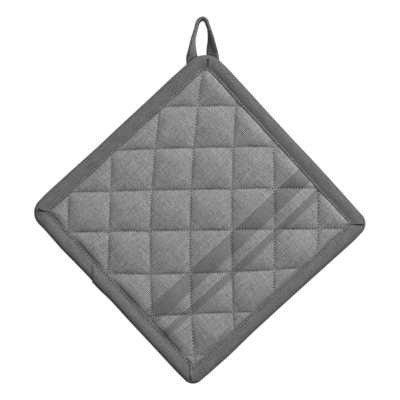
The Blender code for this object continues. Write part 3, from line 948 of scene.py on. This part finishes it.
def join_offset(along, inset):
    """How much of the doubled tape lies at a distance along the joined side, and the crease line at its
    start, which is dented and painted darker as painted shade.
    """
    past = along - JOIN_PLACE + JOIN_SLANT * (inset - JOIN_INSET)
    doubled = smooth(past / JOIN_RISE + 0.5) * (1.0 - smooth((past - JOIN_FLAT) / JOIN_LENGTH))
    painted_shade = np.clip(1.0 - np.abs(past) / JOIN_CREASE, 0.0, 1.0)
    painted_shade = painted_shade * smooth((SEAM_INSET - inset) / JOIN_CREASE_END)
    return doubled, painted_shade


def gap_shade(side, own, inset):
    """How much painted shade darkens the lip's edge beside the narrow gap, where the lip stands off the pad.
    """
    share = GAP_BASE[side]
    for gap_side, start, end in GAPS:
        if gap_side == side:
            share = max(share, smooth(min(own - start * MM, end * MM - own) / GAP_FADE))
    return GAP_SHADES[side] * share * smooth((inset - GAP_FROM) / GAP_BLUR)


def slump_share(corner, side, own, over):
    """How much the tape is flattened outwards past the fold of the left corner."""
    if corner == SLUMP_CORNER and side is None:
        return smooth(over / SLUMP_START)
    if side == SLUMP_CORNER:
        return 1.0 - smooth((own - RADII[side]) / SLUMP_REACH)
    return 0.0


def tape_ring(spots, along, own, out, side, corner):
    """One cross-section of the binding, set out from the plain outline's spots, and the painted shade of its
    points: in the mitre folds, at the join's crease, beside the gaps and towards the outer edge.
    """
    drag = along + WRINKLE_SLANT * INSETS
    wrinkle = ripple(drag, 0.0, WRINKLE_SIZE, seed=11) * smooth((INSETS - WRINKLE_FROM) / WRINKLE_RISE)
    swell = ripple(along, SWELL_SKEW * INSETS, SWELL_SIZE, seed=12)
    height = HEIGHTS + RAISED * (WRINKLE * wrinkle + SWELL * swell)
    wander = sum(reach * ripple(along, 0.0, size, seed) for reach, size, seed in LIP_WANDERS)
    lip = smooth((INSETS - LIP_WANDER_FROM) / LIP_WANDER_RISE) * (RAISED > 0.0)
    spots = spots - np.outer(wander * lip, out)
    over, shoulder, dip = fold_offset(corner, spots, INSETS)
    height += RAISED * (shoulder - FOLD_DEPTH * dip)
    # Painted shade: in the slits of the mitre folds, and towards the outer edge, where the tape turns down.
    outer_edge_shade = np.minimum(EDGE_SHADE, EDGE_SHADE_RISE * np.exp(-INSETS / EDGE_SHADE_FADE))
    painted_shade = np.where(RAISED > 0.0, np.maximum(dip, outer_edge_shade), 0.0)
    slump = slump_share(corner, side, own, over) * np.clip(1.0 - INSETS / SLUMP_WIDTH, 0.0, 1.0)
    height -= RAISED * SLUMP * slump
    # Painted shade on the lip's edge beside a gap, and along the join's dented crease.
    if side is not None:
        painted_shade = np.maximum(painted_shade, gap_shade(side, own, INSETS) * (HEIGHTS > FACE_HEIGHT))
    if side == JOIN_SIDE:
        doubled, line = join_offset(own, INSETS)
        height += RAISED * (JOIN_THICKNESS * doubled - JOIN_DEPTH * line)
        painted_shade = np.maximum(painted_shade, JOIN_SHADE * line * (RAISED > 0.0))
        stepped = JOIN_STEP * doubled * np.clip(1.0 - INSETS / JOIN_STEP_REACH, 0.0, 1.0)
        spots = spots + np.outer(stepped, out)
    return np.column_stack([spots, height + lift_at(spots[:, 0], spots[:, 1])]), painted_shade


def tape_material(name, grey):
    """Tight plain-woven cotton tape, with a fine grain, faint rubbed patches and a soft sheen, darkened by
    painted shade in its folds and gaps.
    """
    material, tree, shader = new_material(name, roughness=0.8, sheen=0.2)
    place = place_of(tree, "tape")
    turn = 2.0 * math.pi / TAPE_THREAD_PITCH
    threads = [calc(tree, "COSINE", calc(tree, "MULTIPLY", way, turn)) for way in split(tree, place)]
    weave = calc(tree, "MULTIPLY", *threads)
    streaks = streaks_of(tree, place, TAPE_STREAKS)
    tone = weighted(tree, [(weave, TAPE_WEAVE_TONE)] + streaks)
    # Painted shade in each needle hole of the seam, which the bump also sinks.
    past, aside = split(tree, place_of(tree, "seam"))
    patches = noise(tree, stretched(tree, place, *SEAM_HOLE_PATCH), 1.0, 1.0)
    strength = calc(tree, "MULTIPLY_ADD", patches, SEAM_HOLE_CHANGE, SEAM_HOLE_MEAN)
    hole = calc(tree, "MULTIPLY", hole_at(tree, aside, past, SEAM_HOLE, SEAM_HOLE_BLUR), strength)
    tone = calc(tree, "MULTIPLY_ADD", hole, SEAM_HOLE_TONE, tone)
    height = calc(tree, "MULTIPLY_ADD", weave, TAPE_WEAVE_HEIGHT, streaks[0][0])
    height = calc(tree, "MULTIPLY_ADD", hole, SEAM_HOLE_HEIGHT, height)
    tone = calc(tree, "MAXIMUM", calc(tree, "ADD", tone, 1.0), TAPE_DARKEST)
    # Painted shade: darker in the folds, gaps and creases, towards the outer edge, and on the loop.
    painted_shade_amount, _ = split(tree, place_of(tree, "painted_shade"))
    kept = calc(tree, "MULTIPLY_ADD", painted_shade_amount, -CREASE_SHADE, 1.0)
    grey = calc(tree, "MULTIPLY", calc(tree, "MULTIPLY", tone, kept), grey)
    paint(tree, shader, grey, height, TAPE_RELIEF)
    return material


def closed_skin(rings, closed):
    """Points and faces round a list of equal rings; the ends of an open run are capped."""
    count = len(rings[0])
    faces = []
    last = len(rings) if closed else len(rings) - 1
    for i in range(last):
        base = i * count
        ahead = (i + 1) % len(rings) * count
        for j in range(count):
            k = (j + 1) % count
            faces.append((base + j, ahead + j, ahead + k, base + k))
    if not closed:
        faces.append(tuple(range(count)))
        faces.append(tuple(reversed(range((len(rings) - 1) * count, len(rings) * count))))
    return np.concatenate(rings), faces


def seam_stitches(index, corner):
    """How many stitches the seam has round a corner or along a side, and how long they are."""
    inset = np.array([SEAM_INSET])
    if corner:
        length = max(RADII[index] - SEAM_INSET, INNER_RADII[index]) * math.pi / 2
    else:
        length = np.linalg.norm(corner_arc(index + 1, inset, 0.0) - corner_arc(index, inset, 1.0))
    count = max(1, round(length / SEAM_PITCHES[index]))
    return count, length / count


def seam_share(number, count):
    """The share of a side at a stitch's number; the stitches get a little longer and shorter along it."""
    return (number + SEAM_DRIFT * math.sin(2.0 * math.pi * number / count)) / count


def tape_stations():
    """Each cross-section's (side or None, corner or None, share or turn, way along, way past a hole)."""
    steps = np.linspace(-1.0, 1.0, CORNER_STEPS + 1)
    turns = [0.5 + 0.5 * math.copysign(abs(step) ** CORNER_CROWDING, step) for step in steps]
    stations = []
    travelled = 0.0
    for index in range(4):
        arc = RADII[index] * math.pi / 2
        count, pitch = seam_stitches(index, True)
        for turn in turns[:-1]:
            past = abs(turn * count - round(turn * count)) * pitch
            stations.append((None, index, turn, travelled + turn * arc, past))
        travelled += arc
        length = np.linalg.norm(corner_arc(index + 1, np.zeros(1), 0.0) - corner_arc(index, np.zeros(1), 1.0))
        count, pitch = seam_stitches(index, False)
        for number in np.arange(RINGS_PER_STITCH * count) / RINGS_PER_STITCH:
            share = seam_share(number, count)
            past = abs(number - round(number)) * pitch
            stations.append((index, None, share, travelled + length * share, past))
        travelled += length
    return stations


def make_binding():
    """The binding as one closed ring of cross-sections."""
    rings = []
    along_tape = []
    painted_shades = []
    past_hole = []
    spans = {}
    for side, corner, share, travelled, past in tape_stations():
        if side is None:
            spots = corner_arc(corner, INSETS, share)
            out = OUTWARD[corner - 1] * (1.0 - share) + OUTWARD[corner] * share
            ring, painted_shade = tape_ring(spots, travelled, 0.0, out / np.linalg.norm(out), None, corner)
        else:
            spans.setdefault(side, travelled)
            near = side if share < 0.5 else (side + 1) % 4
            own = travelled - spans[side] + RADII[side]
            spots = side_point(side, INSETS, share)
            moved = edge_shift(side, own, share, INSETS) - lip_shift(side, share, INSETS)
            spots += np.outer(moved, OUTWARD[side])
            ring, painted_shade = tape_ring(spots, travelled, own, OUTWARD[side], side, near)
        rings.append(ring)
        painted_shades.append(painted_shade)
        along_tape.append(travelled)
        past_hole.append(past / MM)
    points, faces = closed_skin(rings, True)
    binding = add_mesh("edge_binding_tape", points, faces, tape_material("binding_tape", TAPE_GREY))
    steps = np.linalg.norm(np.diff(np.column_stack([INSETS, HEIGHTS]), axis=0), axis=1)
    across_tape = np.concatenate([[0.0], np.cumsum(steps)])
    along_tape = np.repeat(along_tape, len(INSETS))
    aside = np.tile(INSETS - SEAM_INSET, len(rings)) / MM
    painted_shades = np.concatenate(painted_shades)
    add_places(binding, "tape", along_tape / MM, np.tile(across_tape, len(rings)) / MM)
    add_places(binding, "seam", np.repeat(past_hole, len(INSETS)), aside)
    # The painted shade of each point, for the tape's material.
    add_places(binding, "painted_shade", painted_shades, painted_shades)
    return binding


binding = make_binding()
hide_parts("edge_binding")
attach(binding, "root")


def seam_row(top):
    """The start and end of each stitch of the binding's seam, on the face or on the back."""
    inset = np.array([SEAM_INSET])
    spots = []
    for index in range(4):
        count, _ = seam_stitches(index, True)
        spots += [corner_arc(index, inset, i / count)[0] for i in range(count)]
        count, _ = seam_stitches(index, False)
        for i in range(count):
            share = seam_share(i, count)
            spot = side_point(index, inset, share)[0]
            spots.append(spot - lip_shift(index, share, SEAM_INSET) * OUTWARD[index])
    spots = np.array(spots)
    height = SEAM_HEIGHT if top else SEAM_BACK_HEIGHT
    starts = np.column_stack([spots, lift_at(spots[:, 0], spots[:, 1]) + height])
    return starts, np.roll(starts, -1, axis=0)


# The seam's thread stands up on the face and is drawn into the tape on the back: radius and arch.
SEAM_THREAD_GREY = 0.255
SEAM_THREADS = {True: (0.31 * MM, 0.3 * MM), False: (0.16 * MM, 0.05 * MM)}

seam_thread = thread_material("seam_thread", SEAM_THREAD_GREY)
for name, top in (("binding_stitches_face", True), ("binding_stitches_back", False)):
    starts, ends = seam_row(top)
    radius, arch = SEAM_THREADS[top]
    rows = add_stitches(name, starts, ends, top, radius, arch, seam_thread)
    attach(rows, "root")

# The hanging loop: the same tape folded lengthwise in two and sewn along its open edge. It stands with
# its fold up at the top and turns flat towards its ends, which go in under the top corner.
LOOP_WIDTH = 11.0 * MM
LOOP_THICKNESS = 2.2 * MM
LOOP_STEPS = 12
LOOP_SLIT = 0.2 * MM
LOOP_SLIT_DEPTH = 9.0 * MM
LOOP_TUCK = 2.0 * MM
LOOP_TUCK_FADE = 1.6 * MM
NO_SEAM = 9.0
LOOP_LIP = 0.15 * MM
LOOP_LIP_RISE = 0.05 * MM
LOOP_LIP_END = 0.8 * MM
# One layer's outside, from the folded edge to the open one: a share of half the width, millimetres more,
# and a share of half the thickness.
LOOP_SIDE = (
    (1.0, -0.04, 0.3), (1.0, -0.3, 0.65), (1.0, -0.8, 1.0), (1.0, -1.5, 1.35), (1.0, -2.0, 1.45),
    (1.0, -2.6, 1.15), (0.25, 0.0, 0.9), (0.0, 0.0, 0.86), (-0.25, 0.0, 0.84), (-1.0, 2.9, 0.84),
    (-1.0, 2.3, 0.74), (-1.0, 1.7, 0.84), (-1.0, 0.8, 0.86), (-1.0, 0.25, 0.7), (-1.0, 0.0, 0.45),
)
# How much painted shade darkens the tape where it leans over, beside its fold and beside its open edge.
LOOP_SHADE = 0.14
LOOP_SHADE_FROM = 8.0
LOOP_SHADE_RISE = 16.0
LOOP_FOLD_SHADE = 0.45
LOOP_FOLD_EDGE = 1.5 * MM
LOOP_FOOT_SHADE = 0.65
LOOP_FOOT_EDGE = 3.2 * MM
# The loop's path: x and y in millimetres, and how far it leans from standing on its edge, in degrees.
LOOP_PATH = (
    (-5.0, 133.0, 90.0), (-6.2, 139.5, 90.0), (-6.6, 144.8, 76.0), (-6.5, 149.0, 50.0),
    (-6.2, 154.5, 30.0), (-5.2, 162.0, 14.0), (-2.8, 170.6, 8.0), (-1.8, 174.8, 9.0),
    (0.0, 178.3, 9.0), (3.1, 179.8, 10.0), (6.0, 178.2, 9.0), (7.3, 174.8, 9.0),
    (8.8, 170.4, 10.0), (10.6, 161.5, 28.0), (11.2, 154.5, 51.0), (11.7, 149.5, 74.0),
    (12.4, 145.0, 88.0), (12.8, 140.0, 90.0), (12.0, 133.5, 90.0),
)


def smooth_rows(rows, steps):
    """A smooth curve through rows of numbers, with steps rows from each row to the next."""
    values = np.array(rows, dtype=float)
    padded = np.vstack([2 * values[0] - values[1], values, 2 * values[-1] - values[-2]])
    found = []
    for i in range(1, len(padded) - 2):
        before, start, end, after = padded[i - 1:i + 3]
        for step in range(steps):
            t = step / steps
            square = (2 * before - 5 * start + 4 * end - after) * t ** 2
            cube = (3 * start - before - 3 * end + after) * t ** 3
            found.append(start + 0.5 * ((end - before) * t + square + cube))
    found.append(values[-1])
    return np.array(found)


def loop_section():
    """Two layers, folded at the upper edge and open below: (across the width, through the layers)."""
    half = LOOP_WIDTH / 2
    thick = LOOP_THICKNESS / 2
    slit = LOOP_SLIT / 2
    side = [(share * half + more * MM, height * thick) for share, more, height in LOOP_SIDE]
    side += [(-half + LOOP_LIP, slit + LOOP_LIP_RISE), (-half + LOOP_LIP_END, slit)]
    other = [(across, -through) for across, through in reversed(side)]
    return np.array(side + [(-half + LOOP_SLIT_DEPTH, 0.0)] + other + [(half, 0.0)])


def loop_shade(across, lean):
    """How much painted shade darkens the tape across its width, at a lean in degrees."""
    half = LOOP_WIDTH / 2
    fold = LOOP_FOLD_SHADE * math.sin(math.radians(lean)) * smooth(1.0 - (half - across) / LOOP_FOLD_EDGE)
    foot = LOOP_FOOT_SHADE * np.clip(1.0 - (half + across) / LOOP_FOOT_EDGE, 0.0, 1.0)
    side = LOOP_SHADE * smooth((lean - LOOP_SHADE_FROM) / LOOP_SHADE_RISE)
    return np.maximum(side, np.maximum(fold, foot))


def make_loop():
    """The loop as one strip along its path, twisted as it leans, with its feet on the ground."""
    path = smooth_rows(LOOP_PATH, LOOP_STEPS)
    section = loop_section()
    rings = []
    shades = []
    travelled = [0.0]
    for i, (x, y, lean) in enumerate(path):
        before = path[max(0, i - 1)]
        after = path[min(len(path) - 1, i + 1)]
        along = Vector((after[0] - before[0], after[1] - before[1], 0.0)).normalized()
        out = np.array((-along.y, along.x, 0.0))
        lean = min(90.0, lean)
        angle = math.radians(lean)
        width_way = out * math.sin(angle) + np.array((0.0, 0.0, math.cos(angle)))
        face_way = np.array((0.0, 0.0, math.sin(angle))) - out * math.cos(angle)
        offsets = np.outer(section[:, 0], width_way) + np.outer(section[:, 1], face_way)
        foot = np.array((x * MM, y * MM, -offsets[:, 2].min()))
        rings.append(foot + offsets)
        travelled.append(travelled[-1] + math.hypot(after[0] - before[0], after[1] - before[1]) / 2)
        shades.append(loop_shade(section[:, 0], lean))
    points, faces = closed_skin(rings, False)
    loop = add_mesh("hanging_loop_tape", points, faces, tape_material("loop_tape", TAPE_GREY))
    steps = np.linalg.norm(np.diff(section, axis=0), axis=1)
    across = np.tile(np.concatenate([[0.0], np.cumsum(steps)]), len(rings)) / MM
    add_places(loop, "tape", np.repeat(travelled[:-1], len(section)), across)
    no_seam = np.full(len(across), NO_SEAM)
    add_places(loop, "seam", no_seam, no_seam)
    # Painted shade where the loop's ends go in under the binding, and on the tape where it leans over.
    tucked_shade = smooth((inset_at(points[:, 0], points[:, 1]) + LOOP_TUCK) / LOOP_TUCK_FADE)
    shade = np.maximum(tucked_shade, np.concatenate(shades))
    add_places(loop, "painted_shade", shade, shade)
    return loop


loop = make_loop()
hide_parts("hanging_loop")
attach(loop, "root")
